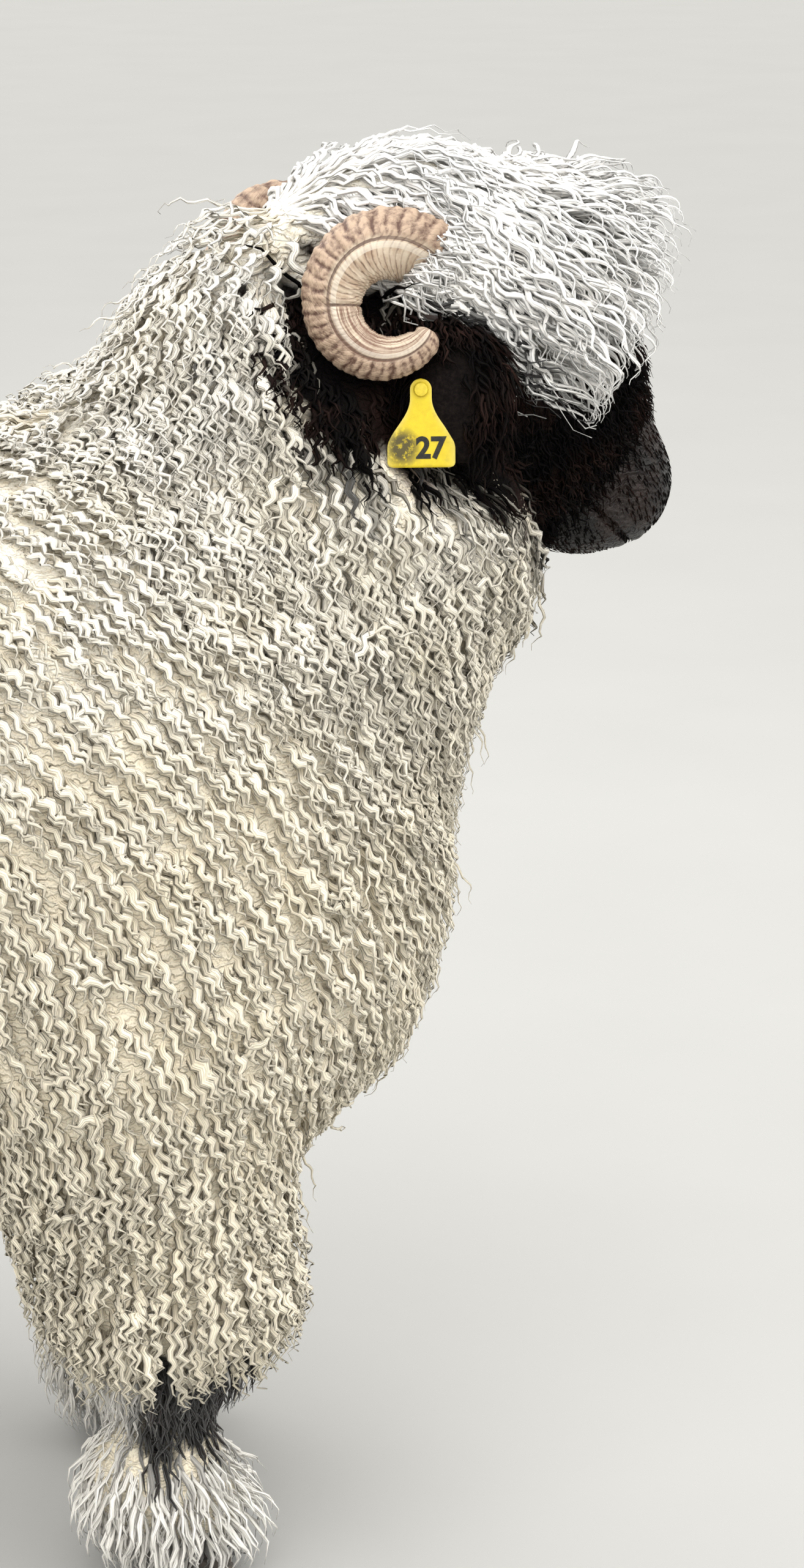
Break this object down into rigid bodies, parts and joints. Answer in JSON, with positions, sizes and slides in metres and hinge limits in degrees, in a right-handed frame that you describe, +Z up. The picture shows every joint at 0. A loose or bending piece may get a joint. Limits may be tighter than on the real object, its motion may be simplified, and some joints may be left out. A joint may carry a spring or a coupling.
{
  "type": "valais blacknose sheep",
  "caption": "Standing long-woolled white sheep with a black face, black ears, spiral horns, black knee and hock patches and a yellow ear tag.",
  "frame": {"origin": "middle of the animal's length and width, on the floor under its feet", "axes": "+X towards the front of the body, +Y to the animal's left, +Z up"},
  "size_m": [1.1554, 0.4557, 0.9773],
  "materials": {
    "white_wool": "long crimped white wool, cream in its depth, matt with a slight sheen",
    "black_wool": "short to middling black-brown face wool under a long white forelock",
    "ear": "soft black hair over thin skin",
    "horn": "ridged keratin, brown on its keel and pale on its side, satin",
    "hoof_horn": "dark grey-brown hoof horn, dull, with fine rings",
    "eye": "wet amber-brown eye with a level bar pupil",
    "ear_tag": "yellow flexible plate, scuffed, with a plain black number",
    "tag_stud": "yellow stud, smooth"
  },
  "bodies": {
    "root": {"head": "black_wool", "neck": "white_wool", "chest": "white_wool", "barrel": "white_wool", "rump": "white_wool", "tail": "white_wool", "foreleg_right": "white_wool", "foreleg_left": "white_wool", "hindleg_right": "white_wool", "hindleg_left": "white_wool", "claw_fore_right_inner": "hoof_horn", "claw_fore_right_outer": "hoof_horn", "claw_fore_left_inner": "hoof_horn", "claw_fore_left_outer": "hoof_horn", "claw_hind_right_inner": "hoof_horn", "claw_hind_right_outer": "hoof_horn", "claw_hind_left_inner": "hoof_horn", "claw_hind_left_outer": "hoof_horn", "ear_right": "ear", "ear_left": "ear", "eye_right": "eye", "eye_left": "eye", "horn_right": "horn", "horn_left": "horn", "ear_tag": "ear_tag", "ear_tag_stud": "tag_stud"}
  },
  "joints": []
}
